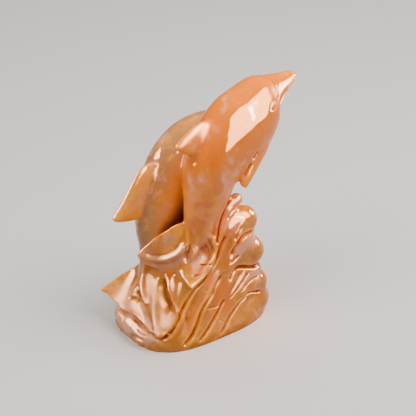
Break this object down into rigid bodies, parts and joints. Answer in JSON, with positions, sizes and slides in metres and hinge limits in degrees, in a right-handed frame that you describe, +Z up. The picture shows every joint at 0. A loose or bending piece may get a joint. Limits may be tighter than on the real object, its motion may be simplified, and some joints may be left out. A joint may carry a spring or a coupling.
{
  "type": "dolphin carving",
  "caption": "Polished agate ornament: two dolphins, one behind the other, leap over curling waves, all carved from one block with a flat oval underside.",
  "frame": {"origin": "middle of the flat underside, on the surface the carving stands on", "axes": "+Z up; +X the way the dolphins leap; -Y the side of the leading dolphin, which the picture shows"},
  "size_m": [0.0795, 0.0503, 0.1024],
  "materials": {
    "agate": "polished, translucent, honey orange with lilac and amber clouds"
  },
  "bodies": {
    "root": {"dolphin_carving": "agate"}
  },
  "joints": []
}
